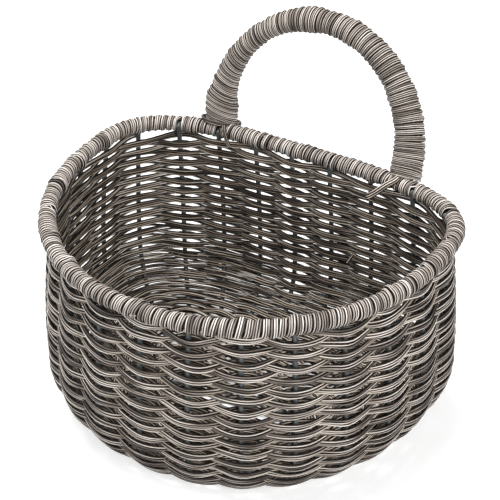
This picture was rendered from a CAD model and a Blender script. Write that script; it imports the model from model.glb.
"""Looks of the half-moon storage basket: every strand, wire, winding and cut end."""
import math

import bpy
import numpy as np
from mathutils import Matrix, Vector

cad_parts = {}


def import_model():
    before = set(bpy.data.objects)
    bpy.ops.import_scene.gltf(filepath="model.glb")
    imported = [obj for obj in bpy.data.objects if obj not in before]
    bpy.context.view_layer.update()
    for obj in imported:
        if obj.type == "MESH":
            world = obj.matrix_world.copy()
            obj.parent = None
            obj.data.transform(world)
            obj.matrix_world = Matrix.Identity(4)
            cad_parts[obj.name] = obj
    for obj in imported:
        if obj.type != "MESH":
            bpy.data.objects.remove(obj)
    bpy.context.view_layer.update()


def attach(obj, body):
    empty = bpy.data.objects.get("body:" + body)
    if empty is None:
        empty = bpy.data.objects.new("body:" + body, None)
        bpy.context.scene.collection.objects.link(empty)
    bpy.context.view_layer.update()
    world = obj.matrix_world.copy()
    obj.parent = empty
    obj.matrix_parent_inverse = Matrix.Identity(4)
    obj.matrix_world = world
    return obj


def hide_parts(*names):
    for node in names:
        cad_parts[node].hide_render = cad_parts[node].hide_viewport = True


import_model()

SEED = 7
rng = np.random.default_rng(SEED)
MM = 0.001

# Sizes of the frame, in metres, as in the part's source
RIM_WIDTH, RIM_DEPTH, BACK_TO_WIDEST = 0.330, 0.263, 0.088
FRONT_POWER, BACK_POWER = 2.08, 3.24
RIM_HEIGHT = 0.183
# y of the middle of the rim's back
BACK_Y = 0.119807
STAKES = 24
HALF_ROUND = STAKES // 2
STAKE_TOP_RISE, STAKE_TOP_OFFSET = 0.0050, -0.0053
# How far the stakes crowd, where and how widely, in shares of the way round
CROWD_SHARE, CROWD_CENTRE, CROWD_SPREAD = 0.018, 0.43, 0.13
WALL_BULGE, CORNER_RADIUS, BASE_LINE = 0.0050, 0.056, 0.0038
WEAVE_DROP, ROW_COVER = 0.0075, 0.86
WALL_BANDS = 5
FIRST_STAKE = 16
ROWS_TO_LEVEL = 10
SPINE_HALF, SPINE_Y = 0.050, -RIM_DEPTH / 2 - 0.008
HOOP_HALF_WIDTH, HOOP_WIRE_RADIUS = 0.0050, 0.00175
HANDLE_HALF_SPAN, HANDLE_FOOT_HALF_SPAN = 0.0966, 0.0904
HANDLE_RISE, HANDLE_POWER, HANDLE_TOP_SHIFT = 0.1161, 2.04, 0.0038
HANDLE_PINCH, HANDLE_LEAN = 0.9, math.radians(8)
HANDLE_FOOT_HEIGHT = 0.1905
TAIL_OFFSET = 0.0110
RIM_RING_RADIUS = 0.0033

# Sizes and counts of this script's own. Each row and each turn is of three strands
WALL_ROWS, BASE_ROWS, OUTER_ROWS = 40, 14, 8
STRANDS = 3
STRAND_RADIUS, WINDING_RADIUS, STAKE_RADIUS = 1.16 * MM, 1.04 * MM, 2.15 * MM
STRAND_SIDES, WIRE_SIDES = 7, 10
SAMPLES = 4000
NORMAL_STEP = 8 / SAMPLES


# Lines in plan

class ClosedLine:
    """A closed line in plan by its share of the way round, from the front towards +X."""

    def __init__(self, points):
        self.closed = np.vstack([points, points[:1]])
        steps = np.linalg.norm(np.diff(self.closed, axis=0), axis=1)
        self.walked = np.concatenate([[0.0], np.cumsum(steps)])
        self.length = self.walked[-1]

    def at(self, share):
        where = np.mod(share, 1.0) * self.length
        return np.stack([np.interp(where, self.walked, self.closed[:, i]) for i in (0, 1)], -1)

    def normal(self, share):
        along = unit(self.at(share + NORMAL_STEP) - self.at(share - NORMAL_STEP))
        return np.stack([along[..., 1], -along[..., 0]], -1)


def unit(vectors):
    return vectors / np.linalg.norm(vectors, axis=-1, keepdims=True)


def half_curve(half_width, depth, power, angles):
    cosines, sines = np.cos(angles), np.sin(angles)
    across = half_width * np.sign(cosines) * np.abs(cosines) ** (2 / power)
    return across, depth * np.abs(sines) ** (2 / power)


def rim_points():
    angles = np.linspace(0, np.pi, SAMPLES // 2, endpoint=False)
    half = RIM_WIDTH / 2
    back_x, back_y = half_curve(half, BACK_TO_WIDEST, BACK_POWER, angles)
    front_x, front_y = half_curve(half, RIM_DEPTH - BACK_TO_WIDEST, FRONT_POWER, angles)
    middle = len(angles) // 2
    x = np.concatenate([-front_x[middle:], back_x, -front_x[:middle]])
    y = np.concatenate([-front_y[middle:], back_y, -front_y[:middle]])
    return np.stack([x, y - BACK_TO_WIDEST + BACK_Y], axis=1)


def hoop_plan_points(steps=24):
    points = [(0.0, -HOOP_HALF_WIDTH)]
    for side, start in ((1, -math.pi / 2), (-1, math.pi / 2)):
        for step in range(steps + 1):
            angle = start + math.pi * step / steps
            points.append((side * SPINE_HALF + HOOP_HALF_WIDTH * math.cos(angle),
                           HOOP_HALF_WIDTH * math.sin(angle)))
    return np.array(points) + (0.0, SPINE_Y + BACK_Y)


def back_line_at(x):
    share = (np.abs(x) / (RIM_WIDTH / 2)) ** BACK_POWER
    return BACK_Y + BACK_TO_WIDEST * ((1 - share) ** (1 / BACK_POWER) - 1)


def stake_share(number):
    even = np.asarray(number) / STAKES
    apart = (np.mod(even, 1.0) - CROWD_CENTRE) / CROWD_SPREAD
    return even + CROWD_SHARE * np.exp(-apart ** 2)


plan = ClosedLine(rim_points())
hoop = ClosedLine(hoop_plan_points())


# Profile of the wall and the corner, and places on it

def profile_points(wall_steps=24, corner_steps=24):
    """(offset out from the plan line, inset towards the hoop, height), from the top down."""
    drop = RIM_HEIGHT - BASE_LINE - CORNER_RADIUS
    points = [(STAKE_TOP_OFFSET, 0.0, RIM_HEIGHT + STAKE_TOP_RISE)]
    for share in np.linspace(0, 1, wall_steps + 1):
        swell = (WALL_BULGE - STAKE_TOP_OFFSET) * math.sin(share * math.pi / 2)
        points.append((STAKE_TOP_OFFSET + swell, 0.0, RIM_HEIGHT - drop * share))
    for angle in np.linspace(0, math.pi / 2, corner_steps + 1)[1:]:
        points.append((WALL_BULGE, CORNER_RADIUS * (1 - math.cos(angle)),
                       BASE_LINE + CORNER_RADIUS * (1 - math.sin(angle))))
    return np.array(points)


profile = profile_points()
profile_steps = np.diff(profile, axis=0)
profile_across = profile_steps[:, 0] - profile_steps[:, 1]
profile_walked = np.concatenate(
    [[0.0], np.cumsum(np.hypot(profile_across, profile_steps[:, 2]))])
tilts = np.arctan2(profile_across, -profile_steps[:, 2])
profile_tilts = np.concatenate([tilts[:1], (tilts[1:] + tilts[:-1]) / 2, [-math.pi / 2]])
TOP_WAY = float(np.interp(WEAVE_DROP - RIM_HEIGHT, -profile[:, 2], profile_walked))
WALL_PITCH = (profile_walked[-1] - TOP_WAY) / (WALL_ROWS + ROW_COVER / 2)

# Everything that depends on the stake number, read from tables with in-between values
TABLE_PER_STAKE = 16
numbers = np.arange(STAKES * TABLE_PER_STAKE + 1) / TABLE_PER_STAKE
feet = plan.at(stake_share(numbers))
outwards = plan.normal(stake_share(numbers))
hoop_at = hoop.at(stake_share(numbers))
edges = feet + outwards * WALL_BULGE
inwards = unit(hoop_at - edges)
edges = edges + inwards * CORNER_RADIUS


def spine_gap(points):
    x = np.clip(points[:, 0], -SPINE_HALF, SPINE_HALF)
    return np.hypot(points[:, 0] - x, points[:, 1] - SPINE_Y - BACK_Y)


HALVINGS = 30
HOOP_CLEARANCE = 0.3 * MM
BASE_ROOM = 1.5 * MM


def base_ends():
    """Where the lines along the base come to the hoop, found by halving."""
    near, far = hoop_at.copy(), edges.copy()
    for _ in range(HALVINGS):
        middle = (near + far) / 2
        close = spine_gap(middle) < HOOP_HALF_WIDTH + HOOP_WIRE_RADIUS + HOOP_CLEARANCE
        near[close], far[~close] = middle[close], middle[~close]
    return far


ends = base_ends()
base_lengths = np.linalg.norm(ends - edges, axis=1) - BASE_ROOM
base_ways = unit(ends - edges)


def read(values, number):
    """Values of a table at any number of stakes round."""
    where = np.mod(number, STAKES)
    if values.ndim == 1:
        return np.interp(where, numbers, values)
    return np.stack([np.interp(where, numbers, column) for column in values.T], -1)


def place(number, row):
    """Points on the stakes' centre lines and outward normals there, for any number and row."""
    number, row = np.broadcast_arrays(np.asarray(number, float), np.asarray(row, float))
    way = TOP_WAY + (np.minimum(row, WALL_ROWS) + ROW_COVER / 2) * WALL_PITCH
    offset, inset, height = (np.interp(way, profile_walked, profile[:, i]) for i in range(3))
    tilt = np.interp(way, profile_walked, profile_tilts)
    outward, inward = read(outwards, number), read(inwards, number)
    plan_xy = read(feet, number) + outward * offset[:, None] + inward * inset[:, None]
    share = np.maximum(row - WALL_ROWS, 0) / (BASE_ROWS + ROW_COVER / 2)
    plan_xy = plan_xy + read(base_ways, number) * (share * read(base_lengths, number))[:, None]
    points = np.column_stack([plan_xy, height])
    normals = np.column_stack([outward * np.cos(tilt)[:, None], np.sin(tilt)])
    return points, unit(normals)


# Meshes of round strands

def smooth_line(points, per_span=6):
    """Catmull-Rom line through points."""
    points = np.asarray(points, float)
    padded = np.vstack([2 * points[0] - points[1], points, 2 * points[-1] - points[-2]])
    line = []
    for a, b, c, d in zip(padded, padded[1:], padded[2:], padded[3:]):
        for t in np.arange(per_span) / per_span:
            line.append(0.5 * (2 * b + (c - a) * t + (2 * a - 5 * b + 4 * c - d) * t ** 2
                               + (3 * b - 3 * c + d - a) * t ** 3))
    line.append(points[-1])
    return np.array(line)


class Bundle:
    """Round strands gathered into one mesh, with each strand's own coordinates."""

    def __init__(self):
        self.verts, self.faces, self.lay, self.flat = [], [], [], []
        self.tone, self.worn = [], []
        self.count = 0

    def add(self, points, towards, radius, tone, sides=STRAND_SIDES, start=0.0, closed=False,
            worn=1.0):
        """A strand along points. towards gives a direction across it at each point. worn says
        how much of it has bleached, from 0 on the inside of the basket to 1 outside."""
        points = np.asarray(points, float)
        worn = np.repeat(np.broadcast_to(np.asarray(worn, float), len(points)), sides)
        radius = np.broadcast_to(np.asarray(radius, float), len(points))
        if closed:
            before, after = np.roll(points, 1, 0), np.roll(points, -1, 0)
            along = unit(after - before)
        else:
            along = unit(np.gradient(points, axis=0))
        across = unit(towards - np.sum(towards * along, -1, keepdims=True) * along)
        beside = np.cross(along, across)
        steps = np.linalg.norm(np.diff(points, axis=0), axis=1)
        walked = start + np.concatenate([[0.0], np.cumsum(steps)])
        angles = 2 * math.pi * np.arange(sides) / sides
        cosines, sines = np.cos(angles), np.sin(angles)
        ring = (points[:, None] + radius[:, None, None]
                * (across[:, None] * cosines[:, None] + beside[:, None] * sines[:, None]))
        lay = np.stack(np.broadcast_arrays(cosines[None], sines[None], walked[:, None]), -1)
        first, count = self.count, len(points)
        grid = first + np.arange(count * sides).reshape(count, sides)
        after = np.roll(grid, -1, 0) if closed else grid[1:]
        here = grid if closed else grid[:-1]
        quads = np.stack([here, np.roll(here, -1, 1), np.roll(after, -1, 1), after], -1)
        self._store(ring.reshape(-1, 3), lay.reshape(-1, 3), tone, worn)
        self.faces += quads.reshape(-1, 4).tolist()
        self.flat += [False] * (quads.size // 4)
        if not closed:
            for index, order in ((0, -1), (-1, 1)):
                start_at = self.count
                self._store(ring[index], lay[index], tone, worn[:sides])
                self.faces.append([start_at + i for i in range(sides)][::order])
                self.flat.append(True)

    def _store(self, verts, lay, tone, worn):
        self.verts.append(verts)
        self.lay.append(lay)
        self.tone.append(np.full(len(verts), tone))
        self.worn.append(worn)
        self.count += len(verts)

    def piece(self, name, finishes, nodes):
        """One mesh of all strands. finishes are those of the strands and of their cut ends."""
        mesh = bpy.data.meshes.new(name)
        mesh.from_pydata(np.vstack(self.verts).tolist(), [], self.faces)
        mesh.polygons.foreach_set("use_smooth", ~np.array(self.flat))
        values = mesh.attributes.new("lay", "FLOAT_VECTOR", "POINT")
        values.data.foreach_set("vector", np.vstack(self.lay).ravel())
        for attribute, numbers_in in (("tone", self.tone), ("worn", self.worn)):
            values = mesh.attributes.new(attribute, "FLOAT", "POINT")
            values.data.foreach_set("value", np.concatenate(numbers_in))
        for finish in finishes:
            mesh.materials.append(finish)
        mesh.polygons.foreach_set("material_index", np.array(self.flat, dtype=np.int32))
        made = bpy.data.objects.new(name, mesh)
        bpy.context.scene.collection.objects.link(made)
        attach(made, "root")
        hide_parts(*nodes)


WAVERS = 4
WAVER_RANGE = (0.5, 1.5)


def waver(where, size, waves):
    """Smooth random variation along a line, of about this many waves per unit of where."""
    total = np.zeros_like(where)
    for _ in range(WAVERS):
        phase, wave = rng.uniform(0, 2 * math.pi), rng.uniform(*WAVER_RANGE) * waves
        total += np.sin(2 * math.pi * wave * where + phase)
    return total * size / math.sqrt(WAVERS)


# Materials

WICKER_ROUGHNESS, WICKER_SPECULAR = 0.5, 0.15
# Noise on a strand: waves per radius round it, waves along it per streak, detail and share
STREAK_AROUND, STREAK_ALONG, STREAK_DETAIL, STREAK_SHARE = 0.45, 1.0, 1.0, 0.6
FINE_AROUND, FINE_ALONG, FINE_DETAIL, FINE_SHARE = 1.6, 2.5, 2.0, 0.4
# Distance in the noise between two strands whose tones differ by 1
TONE_APART = 97.0
# Waves per metre of the fibres in a cut end
CUT_WAVES = 2200.0
BUMP_STRENGTH = 0.6
STRAND_BUMP, CUT_BUMP, WIRE_BUMP, CANE_BUMP = 0.15 * MM, 0.1 * MM, 0.08 * MM, 0.2 * MM


def new_material(name, roughness):
    made = bpy.data.materials.new(name)
    made.use_nodes = True
    nodes, links = made.node_tree.nodes, made.node_tree.links
    shader = nodes["Principled BSDF"]
    shader.inputs["Roughness"].default_value = roughness
    return made, nodes, links, shader


def math_node(nodes, links, kind, first, second):
    node = nodes.new("ShaderNodeMath")
    node.operation = kind
    for socket, value in zip(node.inputs, (first, second)):
        if isinstance(value, (int, float)):
            socket.default_value = value
        else:
            links.new(value, socket)
    return node.outputs[0]


def strand_noise(nodes, links, lay, tone, around, along, detail):
    """Noise drawn out along the strand. around and along are its waves per radius and metre."""
    scaled = nodes.new("ShaderNodeVectorMath")
    scaled.operation = "MULTIPLY"
    scaled.inputs[1].default_value = (around, around, along)
    links.new(lay, scaled.inputs[0])
    noise = nodes.new("ShaderNodeTexNoise")
    noise.noise_dimensions = "4D"
    noise.inputs["Scale"].default_value = 1.0
    noise.inputs["Detail"].default_value = detail
    links.new(scaled.outputs[0], noise.inputs["Vector"])
    links.new(math_node(nodes, links, "MULTIPLY", tone, TONE_APART), noise.inputs["W"])
    return noise.outputs["Fac"]


def colour_ramp(nodes, links, value, stops):
    ramp = nodes.new("ShaderNodeValToRGB")
    elements = ramp.color_ramp.elements
    while len(elements) < len(stops):
        elements.new(0.5)
    for element, (at, colour) in zip(elements, stops):
        element.position = at
        element.color = (*colour, 1.0)
    links.new(value, ramp.inputs["Fac"])
    return ramp.outputs["Color"]


def bump(nodes, links, height, distance, shader):
    node = nodes.new("ShaderNodeBump")
    node.inputs["Strength"].default_value = BUMP_STRENGTH
    node.inputs["Distance"].default_value = distance
    links.new(height, node.inputs["Height"])
    links.new(node.outputs["Normal"], shader.inputs["Normal"])


def attribute(nodes, name, output):
    node = nodes.new("ShaderNodeAttribute")
    node.attribute_name = name
    return node.outputs[output]


def multiplied(nodes, links, colour, by, factor=1.0):
    shade = nodes.new("ShaderNodeMix")
    shade.data_type = "RGBA"
    shade.blend_type = "MULTIPLY"
    for socket, value in zip((shade.inputs[0], shade.inputs[6], shade.inputs[7]),
                             (factor, colour, by)):
        if isinstance(value, (float, tuple)):
            socket.default_value = value
        else:
            links.new(value, socket)
    return shade.outputs[2]


def wicker_material(name, along, stops, crevice_stops):
    """Streaked strand, darker towards its sides and tinted on the inside of the basket. along
    is the number of its light and dark lengths in a metre."""
    made, nodes, links, shader = new_material(name, WICKER_ROUGHNESS)
    shader.inputs["Specular IOR Level"].default_value = WICKER_SPECULAR
    lay, tone = attribute(nodes, "lay", "Vector"), attribute(nodes, "tone", "Fac")
    streak, fine = (strand_noise(nodes, links, lay, tone, around, lengths * along, detail)
                    for around, lengths, detail in
                    ((STREAK_AROUND, STREAK_ALONG, STREAK_DETAIL),
                     (FINE_AROUND, FINE_ALONG, FINE_DETAIL)))
    value = math_node(nodes, links, "ADD",
                      math_node(nodes, links, "MULTIPLY", streak, STREAK_SHARE),
                      math_node(nodes, links, "MULTIPLY", fine, FINE_SHARE))
    colour = colour_ramp(nodes, links, value, stops)
    apart = nodes.new("ShaderNodeSeparateXYZ")
    links.new(lay, apart.inputs[0])
    beside = math_node(nodes, links, "ABSOLUTE", apart.outputs["Y"], 0.0)
    crevice = colour_ramp(nodes, links, beside, crevice_stops)
    colour = multiplied(nodes, links, colour, crevice)
    inside = math_node(nodes, links, "SUBTRACT", 1.0, attribute(nodes, "worn", "Fac"))
    colour = multiplied(nodes, links, colour, INSIDE_TINT, inside)
    links.new(colour, shader.inputs["Base Color"])
    bump(nodes, links, fine, STRAND_BUMP, shader)
    return made


def grained_material(name, roughness, around, along, detail, stops, height):
    made, nodes, links, shader = new_material(name, roughness)
    lay, tone = attribute(nodes, "lay", "Vector"), attribute(nodes, "tone", "Fac")
    grain = strand_noise(nodes, links, lay, tone, around, along, detail)
    links.new(colour_ramp(nodes, links, grain, stops), shader.inputs["Base Color"])
    bump(nodes, links, grain, height, shader)
    return made


def cut_material(name, roughness, stops):
    """The face of a cut end, with its fibres seen end on."""
    made, nodes, links, shader = new_material(name, roughness)
    where = nodes.new("ShaderNodeTexCoord").outputs["Object"]
    noise = nodes.new("ShaderNodeTexNoise")
    noise.inputs["Scale"].default_value = CUT_WAVES
    links.new(where, noise.inputs["Vector"])
    links.new(colour_ramp(nodes, links, noise.outputs["Fac"], stops), shader.inputs["Base Color"])
    bump(nodes, links, noise.outputs["Fac"], CUT_BUMP, shader)
    return made


# Colours by the noise's value, and shades by the distance from the middle of a strand
STRAND_STOPS = ((0.40, (0.088, 0.075, 0.067)), (0.46, (0.250, 0.214, 0.191)),
                (0.52, (0.600, 0.536, 0.485)), (0.59, (0.930, 0.876, 0.822)))
WINDING_STOPS = ((0.36, (0.088, 0.075, 0.067)), (0.45, (0.290, 0.252, 0.226)),
                 (0.54, (0.640, 0.580, 0.532)), (0.62, (0.930, 0.880, 0.832)))
HELD_STOPS = ((0.35, (0.088, 0.075, 0.067)), (0.43, (0.290, 0.252, 0.226)),
              (0.51, (0.640, 0.580, 0.532)), (0.59, (0.930, 0.880, 0.832)))
WOVEN_CREVICE = ((0.12, (1.0, 1.0, 1.0)), (0.40, (0.36, 0.335, 0.31)),
                 (0.64, (0.028, 0.024, 0.021)))
WOUND_CREVICE = ((0.18, (1.0, 1.0, 1.0)), (0.46, (0.36, 0.335, 0.315)),
                 (0.72, (0.030, 0.026, 0.023)))
HELD_CREVICE = ((0.12, (1.0, 1.0, 1.0)), (0.38, (0.36, 0.335, 0.315)),
                (0.62, (0.030, 0.026, 0.023)))
INSIDE_TINT = (0.78, 0.73, 0.65, 1.0)
WIRE_STOPS = ((0.35, (0.036, 0.041, 0.043)), (0.65, (0.078, 0.087, 0.090)))
CANE_STOPS = ((0.38, (0.05, 0.038, 0.028)), (0.62, (0.14, 0.105, 0.078)))
WICKER_CUT_STOPS = ((0.4, (0.18, 0.14, 0.11)), (0.6, (0.50, 0.42, 0.34)))
WIRE_CUT_STOPS = ((0.4, (0.12, 0.13, 0.15)), (0.6, (0.26, 0.28, 0.31)))
CANE_CUT_STOPS = ((0.4, (0.20, 0.15, 0.10)), (0.6, (0.42, 0.33, 0.23)))

# Finishes of each kind of strand and of its cut ends
wicker_cut = cut_material("wicker_cut", 0.7, WICKER_CUT_STOPS)
WICKER = (wicker_material("wicker_strand", 18.0, STRAND_STOPS, WOVEN_CREVICE), wicker_cut)
WOUND = (wicker_material("wound_strand", 24.0, WINDING_STOPS, WOUND_CREVICE), wicker_cut)
HELD = (wicker_material("held_strand", 17.0, HELD_STOPS, HELD_CREVICE), wicker_cut)
WIRE = (grained_material("coated_wire", 0.42, 1.0, 120.0, 3.0, WIRE_STOPS, WIRE_BUMP),
        cut_material("wire_cut", 0.5, WIRE_CUT_STOPS))
CANE = (grained_material("cane", 0.55, 4.0, 30.0, 4.0, CANE_STOPS, CANE_BUMP),
        cut_material("cane_cut", 0.7, CANE_CUT_STOPS))


# Woven strands

STEPS_PER_BAY, COARSER_INSIDE = 8, 1.5
WEAVE_DEPTH = 3.1 * MM
# Where in a turn a weaver steps down to its next row, and over how much of it
STEP_FROM, STEP_SHARE = 0.86, 0.14
# The back's half width and the change to the front beside it, in shares of the way round
BACK_SHARE, TURN_SHARE = 0.19, 0.05
# Rows above the corner's end in which the wall's ways die out
FADE_ROWS = 8
# How far a bundle hangs down over a front stake, how much that differs by stake, and the
# part of a bay by which it trails
FRONT_DROOP, BACK_DROOP, BASE_DROOP = 2.9 * MM, -0.45 * MM, 1.2 * MM
FRONT_VARIES, BACK_VARIES = 0.35 * MM, 0.95 * MM
DROOP_RANGE = (-1.6, 1.6)
LAG = 0.12
# From strand to strand of a bundle, at a stake and midway
FRONT_ACROSS, BACK_ACROSS = (2.22 * MM, 1.84 * MM), (2.44 * MM, 2.26 * MM)
# How far the middle strand of a bundle stands out, and the others in
WOVEN_CROWN = (-0.24 * MM, 0.40 * MM, -0.24 * MM)
# Sizes of the random waves, as shares of the droop and the lag or as lengths
DROOP_WAVES, LAG_WAVES = 0.2, 0.6
BUNDLE_DROOP, BUNDLE_SHIFT = 0.32 * MM, 0.35 * MM
STRAND_HEIGHT, STRAND_DEPTH = 0.28 * MM, 0.18 * MM
WAVE_COUNT, WAVE_RANGE = 5, (0.05, 0.9)
THICKER_ON_BASE = 0.08
# Where a length's streaks start, in metres per stake
START_PER_STAKE = 0.04


def level(station):
    """Row of a weaver. The first rows lie along the rim and step down at each start."""
    turn = np.floor(station / HALF_ROUND)
    share = station / HALF_ROUND - turn
    fall = np.minimum(1.0, turn / ROWS_TO_LEVEL)
    part = np.clip((share - STEP_FROM) / STEP_SHARE, 0, 1)
    return turn + share * fall + (1 - fall) * part ** 2 * (3 - 2 * part)


def sines(where, waves, size):
    total = sum(np.sin(2 * math.pi * wave * where + phase) for wave, phase in waves)
    return total * size / math.sqrt(len(waves))


def random_waves():
    return [(rng.uniform(*WAVE_RANGE), rng.uniform(0, 2 * math.pi)) for _ in range(WAVE_COUNT)]


# By weaver, and the first by strand too
strand_waves = [[[random_waves() for _ in range(2)] for _ in range(STRANDS)] for _ in range(2)]
droop_waves = [[random_waves() for _ in range(4)] for _ in range(2)]
strand_tones = rng.uniform(0, 1, (2, STRANDS))
stake_droops = rng.uniform(*DROOP_RANGE, STAKES)


def weave_strand(bundle, weaver, first, last, stride, index):
    """One of the three strands of a weaver. Seen from outside, the passes over the front
    stakes hang low, and those over the back stakes lie high."""
    count = int(round((last - first) * STEPS_PER_BAY / (1.0 if stride == 1 else COARSER_INSIDE)))
    station = np.linspace(first, last, count + 1)
    number = FIRST_STAKE + HALF_ROUND * weaver + station
    side = np.cos(math.pi * (station / stride + weaver))
    row = level(station)
    at_stake = 0.5 + 0.5 * np.cos(2 * math.pi * station / stride)
    on_wall = np.clip((WALL_ROWS - row) / FADE_ROWS, 0, 1)
    on_base = np.clip(row - WALL_ROWS + 0.5, 0, 1)
    base_pitch = read(base_lengths, number) / (BASE_ROWS + ROW_COVER / 2)
    pitch = WALL_PITCH + (base_pitch - WALL_PITCH) * on_base
    from_back = np.abs(np.mod(stake_share(number), 1.0) - 0.5)
    at_front = np.clip((from_back - BACK_SHARE) / TURN_SHARE, 0, 1)
    size_waves, lag_waves, shift_waves, more_waves = droop_waves[weaver]
    lag = (2 * at_front - 1) * LAG * (1 + sines(station, lag_waves, LAG_WAVES))
    droop = BACK_DROOP + (FRONT_DROOP - BACK_DROOP) * at_front
    own = np.interp(np.mod(number, STAKES), range(STAKES + 1), [*stake_droops, stake_droops[0]])
    droop = droop + own * (BACK_VARIES + (FRONT_VARIES - BACK_VARIES) * at_front)
    droop = droop * (1 + sines(station, size_waves, DROOP_WAVES))
    droop = droop + sines(station, more_waves, BUNDLE_DROOP)
    on_outer = np.clip(OUTER_ROWS + WALL_ROWS - row, 0, 1)
    droop = droop * on_wall + BASE_DROOP * (1 - on_wall) * on_outer
    droop = droop * np.cos(math.pi * ((station - lag * on_wall) / stride + weaver))
    height_waves, depth_waves = strand_waves[weaver][index]
    wide, narrow = (back + (front - back) * at_front * on_wall
                    for front, back in zip(FRONT_ACROSS, BACK_ACROSS))
    across = (narrow + (wide - narrow) * at_stake) * (index - 1)
    across = across + droop + sines(station, height_waves, STRAND_HEIGHT)
    across = across + sines(station, shift_waves, BUNDLE_SHIFT) * on_wall
    points, normals = place(number, row + across / pitch)
    depth = WEAVE_DEPTH * side + WOVEN_CROWN[index] * (1 - at_stake)
    depth = depth + sines(station, depth_waves, STRAND_DEPTH)
    points = points + normals * depth[:, None]
    radius = STRAND_RADIUS * (1 + THICKER_ON_BASE * (1 - on_wall))
    points[:, 2] = np.maximum(points[:, 2], radius)
    bundle.add(points, normals, radius, strand_tones[weaver][index],
               start=first * START_PER_STAKE, worn=0.5 + 0.5 * side)


def weave():
    stations = [rows * STAKES // 2 for rows in
                (WALL_ROWS, WALL_ROWS + OUTER_ROWS, WALL_ROWS + BASE_ROWS)]
    cuts = [round(stations[0] * i / WALL_BANDS) for i in range(WALL_BANDS + 1)]
    for weaver, letter in enumerate("ab"):
        spans = [(f"wall_weave_{letter}{i + 1}", cuts[i], cuts[i + 1], 1)
                 for i in range(WALL_BANDS)]
        spans.append((f"base_weave_outer_{letter}", stations[0], stations[1], 1))
        spans.append((f"base_weave_inner_{letter}", stations[1], stations[2], 2))
        for node, first, last, stride in spans:
            bundle = Bundle()
            for index in range(STRANDS):
                weave_strand(bundle, weaver, first, last, stride, index)
            bundle.piece(node.replace("weave", "strands"), WICKER, [node])


weave()


# Stakes, the base's hoop and the rim's ring

# How far the tips lie below the solids', the rings that round them, and the least share of
# the tip's curve
TIP_LOW = 2.4 * MM
TIP_RINGS = np.array([0.0, 0.25, 0.7, 1.3, 2.15]) * MM
TIP_LEAST = 0.04
# Rows from the tip to the first ring below it, and from ring to ring
RING_FROM, RING_STEP = 0.5, 0.6
HOOP_STEPS, RING_STEPS = 10, 240
HOOP_TONE, RING_TONE = 0.3, 0.6


def stakes():
    tip = TIP_RINGS
    round_tip = np.sqrt(1 - (1 - np.clip(tip / STAKE_RADIUS, TIP_LEAST, 1)) ** 2)
    tip = (TIP_LOW + tip - TOP_WAY) / WALL_PITCH - ROW_COVER / 2
    for number in range(STAKES):
        if number % 2 == 0:
            stop = WALL_ROWS + BASE_ROWS + ROW_COVER / 2
        else:
            turned = 2 * (number - FIRST_STAKE) / STAKES % 1
            stop = WALL_ROWS + OUTER_ROWS - 1 + turned + ROW_COVER / 4
        rows = np.concatenate([tip, np.arange(tip[-1] + RING_FROM, stop, RING_STEP), [stop]])
        points, normals = place(number, rows)
        bundle = Bundle()
        radius = np.full(len(points), STAKE_RADIUS)
        radius[:len(tip)] *= round_tip
        bundle.add(points, normals, radius, rng.uniform(), sides=WIRE_SIDES)
        name = f"stake_{number + 1:02d}"
        bundle.piece(name + "_wire", WIRE, [name])


def closed_wire(node, plan_xy, height, radius, tone):
    points = np.column_stack([plan_xy, np.full(len(plan_xy), height)])
    bundle = Bundle()
    up = np.tile((0.0, 0.0, 1.0), (len(points), 1))
    bundle.add(points, up, radius, tone, sides=WIRE_SIDES, closed=True)
    bundle.piece(node + "_wire", WIRE, [node])


stakes()
closed_wire("base_hoop", hoop_plan_points(HOOP_STEPS)[1:], BASE_LINE, HOOP_WIRE_RADIUS,
            HOOP_TONE)
closed_wire("rim_ring", plan.at(np.arange(RING_STEPS) / RING_STEPS), RIM_HEIGHT,
            RIM_RING_RADIUS, RING_TONE)


# Windings of the rim

RIM_TURNS, RIM_STEPS = 158, 16
RIM_WIND_RADIUS = 6.2 * MM
RIM_IN_GROUP = 1.82 * MM
RIM_CROWN = (-0.26 * MM, 0.28 * MM, -0.26 * MM)
# How much the turns differ in radius and slant
RIM_TURN_RADIUS, RIM_TURN_SLANT = 0.30 * MM, 0.32 * MM
# Size and waves per turn of each strand's waver along the rim and in radius
RIM_ALONG_WAVER, RIM_RADIUS_WAVER = (0.12 * MM, 0.35), (0.08 * MM, 0.8)
# Stakes whose tops lie under the windings. The others' cut tops stand in a gap of them.
COVERED = (0, 2, 3, 5, 10, 11, 12, 13, 16, 17, 18, 19, 21, 22)
# How far the turns part beside a stake, and how far from it they still do
PART_HALF, PART_REACH = 2.7 * MM, 9 * MM
# How far they rise over a covered one, and how far from it they still do
OVER_RISE, OVER_REACH = 2.3 * MM, 3.6 * MM
# How sharply the inner and the low side of a turn are told from the rest
INNER_SLOPE, LOW_SLOPE, LOW_START = 1.6, 2.2, 0.4


class Groups:
    """How each turn of three strands differs: its radius and its slant."""

    def __init__(self, count, radius, slant):
        self.turns = np.arange(count + 1)
        self.radius = rng.normal(0, radius, count + 1)
        self.slants = rng.normal(0, slant, (2, count + 1))

    def radius_at(self, turn):
        return np.interp(turn, self.turns, self.radius)

    def slant_at(self, turn, angle):
        """Shift along what is wound, at an angle round it."""
        across, along = (np.interp(turn, self.turns, slant) for slant in self.slants)
        return across * np.cos(angle) + along * np.sin(angle)


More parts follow.
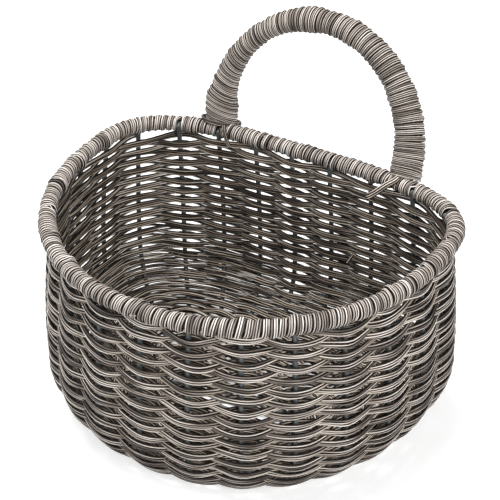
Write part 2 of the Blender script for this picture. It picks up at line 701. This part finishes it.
def rim_windings():
    stake_at = stake_share(np.arange(STAKES)) * plan.length
    turn = np.arange(RIM_TURNS * RIM_STEPS + 1) / RIM_STEPS
    pitch = plan.length / RIM_TURNS
    bundle = Bundle()
    groups = Groups(RIM_TURNS, RIM_TURN_RADIUS, RIM_TURN_SLANT)
    for index in range(STRANDS):
        angle = 2 * math.pi * turn
        along = turn * pitch + (index - 1) * RIM_IN_GROUP + groups.slant_at(turn, angle)
        along = along + waver(turn, *RIM_ALONG_WAVER)
        inner = np.clip(-np.cos(angle) * INNER_SLOPE, 0, 1)
        gap = along[:, None] - stake_at[None]
        gap = (gap + plan.length / 2) % plan.length - plan.length / 2
        stake = np.abs(gap).argmin(1)
        nearest = gap[np.arange(len(gap)), stake]
        covered = np.isin(stake, COVERED)
        low = np.clip(-LOW_SLOPE * np.sin(angle) - LOW_START, 0, 1)
        pushed = np.sign(nearest) * np.hypot(nearest, PART_HALF)
        push = (pushed - nearest) * np.exp(-(nearest / PART_REACH) ** 2) * inner
        push = push * np.where(covered, low, 1)
        over = OVER_RISE * np.exp(-((nearest + push) / OVER_REACH) ** 2) * inner * covered
        share = (along + push) / plan.length
        outward = plan.normal(share)
        radius = RIM_WIND_RADIUS + RIM_CROWN[index] + groups.radius_at(turn)
        radius = radius + waver(turn, *RIM_RADIUS_WAVER) + over
        way = np.column_stack([outward * np.cos(angle)[:, None], np.sin(angle)])
        xy = plan.at(share)
        points = np.column_stack([xy, np.full(len(xy), RIM_HEIGHT)]) + way * radius[:, None]
        bundle.add(points, way, WINDING_RADIUS, rng.uniform())
    bundle.piece("rim_windings", WOUND, ["rim_wrap"])


rim_windings()


# Handle

def arch_line():
    """Centre line of the handle above the rim, and on a little below at each foot."""
    angles = np.linspace(0, np.pi, SAMPLES)
    x, z = half_curve(HANDLE_HALF_SPAN, HANDLE_RISE, HANDLE_POWER, angles)
    near_foot = np.clip(1 - z / HANDLE_RISE / HANDLE_PINCH, 0, 1)
    x = -x * (1 - (1 - HANDLE_FOOT_HALF_SPAN / HANDLE_HALF_SPAN) * near_foot ** 2)
    x = x + HANDLE_TOP_SHIFT * (z / HANDLE_RISE) ** 2
    z = z + RIM_HEIGHT
    foot_y = back_line_at(HANDLE_FOOT_HALF_SPAN) + TAIL_OFFSET
    y = foot_y + (z - HANDLE_FOOT_HEIGHT) * math.tan(HANDLE_LEAN)
    line = np.stack([x, y, z], axis=1)[z >= HANDLE_FOOT_HEIGHT]
    below = [line[i] - (0, 0, BELOW_FOOT) for i in (0, -1)]
    return np.vstack([below[:1], line, below[1:]])


BELOW_FOOT = 20 * MM
ARCH_STEP = 2 * MM
arch = arch_line()
arch_walked = np.concatenate([[0.0], np.cumsum(np.linalg.norm(np.diff(arch, axis=0), axis=1))])
arch_walked = arch_walked - BELOW_FOOT
ARCH_LENGTH = arch_walked[-1] - BELOW_FOOT
ARCH_FRONT = np.array([0.0, -math.cos(HANDLE_LEAN), math.sin(HANDLE_LEAN)])


def arch_at(way):
    return np.stack([np.interp(way, arch_walked, arch[:, i]) for i in range(3)], -1)


def arch_frame(way):
    """Points of the arch and the directions away from its inside there."""
    along = unit(arch_at(way + ARCH_STEP) - arch_at(way - ARCH_STEP))
    return arch_at(way), np.cross(ARCH_FRONT, along)


HANDLE_TURNS, HANDLE_STEPS = 64, 20
HANDLE_STRAND, HANDLE_IN_GROUP = 0.92 * MM, 1.56 * MM
HANDLE_CROWN = (-0.36 * MM, 0.20 * MM, -0.36 * MM)
HANDLE_TURN_RADIUS, HANDLE_TURN_SLANT = 0.34 * MM, 0.26 * MM
HANDLE_ALONG_WAVER, HANDLE_RADIUS_WAVER = (0.12 * MM, 0.3), (0.1 * MM, 0.8)
HANDLE_WORN = 0.8
# The right leg's windings lie nearer the inside of the arch: how far, from where and over
# which share
RIGHT_IN, RIGHT_FROM, RIGHT_SHARE = 1.1 * MM, 0.9, 0.09
# Radius of the windings in millimetres, by share of the arch from the left foot
HANDLE_SHARES = (0.0, 0.023, 0.047, 0.07, 0.094, 0.117, 0.141, 0.164, 0.234, 0.28, 0.328, 0.375,
                 0.422, 0.469, 0.492, 0.516, 0.563, 0.61, 0.656, 0.703, 0.75, 0.8, 0.844, 0.9,
                 0.94, 1.0)
HANDLE_RADII = (14.4, 15.2, 15.3, 13.3, 12.7, 11.7, 11.1, 10.3, 9.8, 9.5, 9.1, 9.5, 10.2, 11.6,
                10.9, 10.3, 11.0, 11.3, 11.5, 12.0, 11.9, 12.5, 13.3, 13.2, 14.1, 14.5)
FOOT_START = -8.5 * MM
# How far a turn's front rises above its back, and its outer side above its inner, per radius
FRONT_SHARES = (0.0, 0.06, 0.14, 0.5, 0.86, 0.94, 1.0)
FRONT_RISE = (0.30, 0.24, 0.16, 0.0, -0.18, -0.34, -0.52)
OUTER_SHARES, OUTER_RISE = (0.0, 0.3, 0.7, 1.0), (0.18, 0.10, -0.10, -0.16)


def handle_windings():
    length = ARCH_LENGTH - 2 * FOOT_START
    pitch = length / HANDLE_TURNS
    turn = np.arange(HANDLE_TURNS * HANDLE_STEPS + 1) / HANDLE_STEPS
    groups = Groups(HANDLE_TURNS, HANDLE_TURN_RADIUS, HANDLE_TURN_SLANT)
    bundle = Bundle()
    for index in range(STRANDS):
        angle = -2 * math.pi * turn
        way = FOOT_START + pitch * turn + (index - 1) * HANDLE_IN_GROUP
        way = np.clip(way, FOOT_START, ARCH_LENGTH - FOOT_START)
        share = way / ARCH_LENGTH
        radius = np.interp(share, HANDLE_SHARES, HANDLE_RADII) * MM - HANDLE_STRAND
        radius = radius + HANDLE_CROWN[index] + groups.radius_at(turn)
        radius = radius + waver(turn, *HANDLE_RADIUS_WAVER)
        way = way + groups.slant_at(turn, angle) + waver(turn, *HANDLE_ALONG_WAVER)
        way = way + radius * np.interp(share, FRONT_SHARES, FRONT_RISE) * np.sin(angle)
        way = way + radius * np.interp(share, OUTER_SHARES, OUTER_RISE) * np.cos(angle)
        centre, away = arch_frame(way)
        inset = RIGHT_IN * np.clip((share - RIGHT_FROM) / RIGHT_SHARE, 0, 1)
        centre = centre - away * inset[:, None]
        out = away * np.cos(angle)[:, None] + ARCH_FRONT * np.sin(angle)[:, None]
        bundle.add(centre + out * radius[:, None], out, HANDLE_STRAND, rng.uniform(),
                   worn=HANDLE_WORN)
    bundle.piece("handle_windings", HELD, ["handle_wrap"])


TAIL_BELOW, TAIL_RADIUS, TAIL_TAPER = 14 * MM, 3.5 * MM, 13 * MM
POLE_RADIUS, POLE_POINTS, POLE_SIDES, POLE_TONE = 7.4 * MM, 90, 12, 0.4
# Above the feet the pole fills the windings up to this far below their outside
POLE_UNDER, SWELL_FROM, SWELL_LENGTH = 2.3 * MM, 28 * MM, 20 * MM


def cane_pole():
    """The pole in the windings, shaved down behind the rim at each foot."""
    way = np.linspace(-TAIL_BELOW, ARCH_LENGTH + TAIL_BELOW, POLE_POINTS)
    end = np.minimum(way, ARCH_LENGTH - way)
    radius = TAIL_RADIUS + (POLE_RADIUS - TAIL_RADIUS) * np.clip(end / TAIL_TAPER, 0, 1)
    within = np.interp(way / ARCH_LENGTH, HANDLE_SHARES, HANDLE_RADII) * MM - POLE_UNDER
    radius += np.maximum(within - radius, 0) * np.clip((end - SWELL_FROM) / SWELL_LENGTH, 0, 1)
    centre, away = arch_frame(way)
    bundle = Bundle()
    bundle.add(centre, away, radius, POLE_TONE, sides=POLE_SIDES)
    bundle.piece("handle_pole_cane", CANE, ["handle_pole"])


handle_windings()
cane_pole()


# Small strands at the handle's feet and the loose end

# The side that the light middle of these strands faces
ACROSS_SMALL = (0.02, -0.8, 1.0)
SMALL_SIDES = 8
COLLAR_LOOPS, COLLAR_STEPS = 3, 24
# Mean radius, its change and the waves of that per loop
COLLAR_RADIUS, COLLAR_CHANGE, COLLAR_WAVES = 16.7 * MM, 0.4 * MM, 2.2
# Height at the start, fall towards the back and fall per loop
COLLAR_HEIGHT, COLLAR_SLOPE, COLLAR_FALL = 187.6 * MM, 0.44, 1.5 * MM


def small_strands(name, node, lines, worn=1.0):
    bundle = Bundle()
    for points in lines:
        line = smooth_line(points)
        towards = np.tile(ACROSS_SMALL, (len(line), 1))
        bundle.add(line, towards, WINDING_RADIUS, rng.uniform(), sides=SMALL_SIDES, worn=worn)
    bundle.piece(name, WICKER, [node])


def collar():
    """Loops round the left foot, high in front and low behind."""
    foot = arch_at(np.array(0.0))
    points = []
    for step in range(COLLAR_LOOPS * COLLAR_STEPS + 1):
        turn = step / COLLAR_STEPS
        angle = 2 * math.pi * turn
        radius = COLLAR_RADIUS + COLLAR_CHANGE * math.sin(COLLAR_WAVES * turn)
        across, along = radius * math.cos(angle), radius * math.sin(angle)
        height = COLLAR_HEIGHT - COLLAR_SLOPE * along - COLLAR_FALL * turn
        points.append((foot[0] + across, foot[1] + along, height))
    small_strands("foot_collar_strand", "foot_collar", [points])


# Places that the strands at the feet pass, in metres
RIGHT_LASHING = ((0.0888, 0.1130, 0.1920), (0.0862, 0.1100, 0.1893), (0.0806, 0.1080, 0.1847),
                 (0.0742, 0.1068, 0.1782), (0.0682, 0.1060, 0.1722), (0.0634, 0.1064, 0.1684),
                 (0.0606, 0.1106, 0.1660))
LEFT_LASHING = ((-0.0800, 0.1110, 0.1915), (-0.0775, 0.1076, 0.1880), (-0.0745, 0.1058, 0.1820),
                (-0.0712, 0.1052, 0.1760), (-0.0690, 0.1080, 0.1730))
BESIDE_RIGHT, BESIDE_LEFT = (0.0013, -0.0005, -0.0012), (0.0018, 0.0, 0.0009)
RIGHT_WORN, LEFT_WORN, LOOSE_WORN = 0.5, 0.8, 0.3
# The loose end: the stakes that it lies between, its start and run in shares of that bay and
# of the wall's height or in metres, and how far inside the stakes it lies
LOOSE_BAY = (10, 11)
LOOSE_START, LOOSE_RUN = 0.37, 0.16
LOOSE_DROP, LOOSE_FALL = 0.71, 12 * MM
LOOSE_INSIDE = 4.6 * MM


def beside(points, shift):
    return [tuple(a + b for a, b in zip(point, shift)) for point in points]


def loose_end():
    points = []
    first, after = (stake_share(number) for number in LOOSE_BAY)
    for part in (0.0, 0.5, 1.0):
        drop = (RIM_HEIGHT - BASE_LINE - CORNER_RADIUS) * LOOSE_DROP
        height = RIM_HEIGHT - drop - LOOSE_FALL * part
        share = first + (after - first) * (LOOSE_START + LOOSE_RUN * part)
        offset = float(np.interp(-height, -profile[:, 2], profile[:, 0])) - LOOSE_INSIDE
        xy = plan.at(share) + plan.normal(share) * offset
        points.append((xy[0], xy[1], height))
    return points


collar()
small_strands("foot_lashing_right_1_strand", "foot_lashing_right_1", [RIGHT_LASHING], RIGHT_WORN)
second_right = beside(RIGHT_LASHING, BESIDE_RIGHT)
small_strands("foot_lashing_right_2_strand", "foot_lashing_right_2",
              [second_right, beside(second_right, BESIDE_RIGHT)], RIGHT_WORN)
small_strands("foot_lashing_left_strands", "foot_lashing_left",
              [LEFT_LASHING, beside(LEFT_LASHING, BESIDE_LEFT)], LEFT_WORN)
small_strands("loose_end_strand", "loose_strand_end", [loose_end()], LOOSE_WORN)


# Floor, light and camera

FLOOR_RADIUS, FLOOR_SIDES = 4, 96
FLOOR_GREY = (0.60, 0.60, 0.60, 1)
# Distance from the middle and what the floor adds to its shade there
NEAR_GLOW, FAR_GLOW = (0.6, 0.60), (1.5, 1.0)
# The world's brightness as light, and what it has besides where it is seen
WORLD_LIGHT, WORLD_SEEN = 0.14, 0.86
LAMP_TARGET = (0, 0, 0.1)
SENSOR_WIDTH, LENS = 36.0, 113.7
CAMERA_PLACE, CAMERA_TARGET = (0.5507, -0.91365, 0.8806), (-0.010581, 0.03981, 0.12562)


def seen_only(nodes, links):
    """1 for what the camera sees, also by gloss or through glass, and 0 for light."""
    path = nodes.new("ShaderNodeLightPath")
    seen = math_node(nodes, links, "MAXIMUM", path.outputs["Is Camera Ray"],
                     path.outputs["Is Glossy Ray"])
    return math_node(nodes, links, "MAXIMUM", seen, path.outputs["Is Transmission Ray"])


def floor():
    mesh = bpy.data.meshes.new("floor")
    angles = np.linspace(0, 2 * math.pi, FLOOR_SIDES, endpoint=False)
    verts = [(FLOOR_RADIUS * math.cos(a), FLOOR_RADIUS * math.sin(a), 0.0) for a in angles]
    mesh.from_pydata(verts, [], [list(range(FLOOR_SIDES))])
    made = bpy.data.materials.new("white_floor")
    made.use_nodes = True
    nodes, links = made.node_tree.nodes, made.node_tree.links
    nodes.clear()
    output = nodes.new("ShaderNodeOutputMaterial")
    diffuse = nodes.new("ShaderNodeBsdfDiffuse")
    diffuse.inputs["Color"].default_value = FLOOR_GREY
    glow = nodes.new("ShaderNodeEmission")
    where = nodes.new("ShaderNodeVectorMath")
    where.operation = "LENGTH"
    links.new(nodes.new("ShaderNodeTexCoord").outputs["Object"], where.inputs[0])
    white = nodes.new("ShaderNodeMapRange")
    for end, (distance, shade) in (("Min", NEAR_GLOW), ("Max", FAR_GLOW)):
        white.inputs["From " + end].default_value = distance
        white.inputs["To " + end].default_value = shade
    links.new(where.outputs["Value"], white.inputs["Value"])
    links.new(math_node(nodes, links, "MULTIPLY", seen_only(nodes, links),
                        white.outputs["Result"]), glow.inputs["Strength"])
    both = nodes.new("ShaderNodeAddShader")
    links.new(diffuse.outputs[0], both.inputs[0])
    links.new(glow.outputs[0], both.inputs[1])
    links.new(both.outputs[0], output.inputs["Surface"])
    mesh.materials.append(made)
    plane = bpy.data.objects.new("floor", mesh)
    bpy.context.scene.collection.objects.link(plane)


def world():
    made = bpy.data.worlds.new("studio")
    bpy.context.scene.world = made
    made.use_nodes = True
    nodes, links = made.node_tree.nodes, made.node_tree.links
    back = nodes["Background"]
    strength = math_node(nodes, links, "MULTIPLY", seen_only(nodes, links), WORLD_SEEN)
    links.new(math_node(nodes, links, "ADD", strength, WORLD_LIGHT), back.inputs["Strength"])
    back.inputs["Color"].default_value = (1, 1, 1, 1)


def aimed(name, data, where, target):
    """An object that stands at one point and looks at another."""
    made = bpy.data.objects.new(name, data)
    made.location = where
    made.rotation_euler = (Vector(target) - made.location).to_track_quat("-Z", "Y").to_euler()
    bpy.context.scene.collection.objects.link(made)
    return made


def lamp(name, where, size, power):
    data = bpy.data.lights.new(name, "AREA")
    data.size = size
    data.energy = power
    aimed(name, data, where, LAMP_TARGET)


def camera():
    data = bpy.data.cameras.new("camera")
    data.sensor_width = SENSOR_WIDTH
    data.lens = LENS
    bpy.context.scene.camera = aimed("camera", data, CAMERA_PLACE, CAMERA_TARGET)


floor()
world()
lamp("key", (1.8, -0.8, 1.1), 1.1, 42.0)
lamp("side", (-1.45, -1.1, 1.15), 1.1, 20.0)
lamp("top", (-0.5, 0.0, 2.0), 1.2, 53.0)
camera()
bpy.context.scene.view_settings.view_transform = "Standard"
